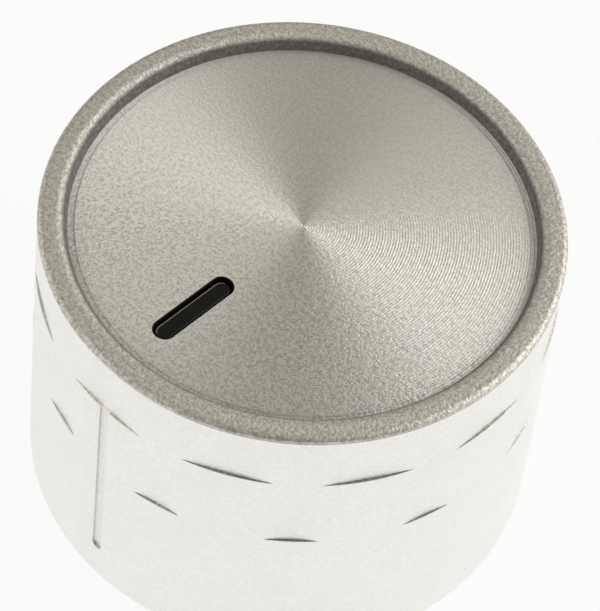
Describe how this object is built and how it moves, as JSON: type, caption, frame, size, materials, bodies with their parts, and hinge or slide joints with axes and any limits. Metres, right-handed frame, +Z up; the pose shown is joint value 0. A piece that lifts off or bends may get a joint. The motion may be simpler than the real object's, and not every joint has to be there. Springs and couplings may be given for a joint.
{
  "type": "stove knob",
  "caption": "Round stove knob: silver cap with a sunk spun face, pointer slot and thumbnail grips, on a black hub with a D bore and spring clip.",
  "frame": {"origin": "middle of the foot, on the surface that the knob stands on", "axes": "+Z up along the spindle axis towards the dial face, -Y the way the pointer points"},
  "size_m": [0.0416, 0.0416, 0.0286],
  "materials": {
    "cap": "silver metallic paint on moulded plastic, dial face with fine concentric lines",
    "hub": "black moulded plastic, glossy on the pointer bar",
    "spring_clip": "bright spring steel strip"
  },
  "bodies": {
    "root": {"cap": "cap", "hub": "hub", "spring_clip": "spring_clip"}
  },
  "joints": []
}
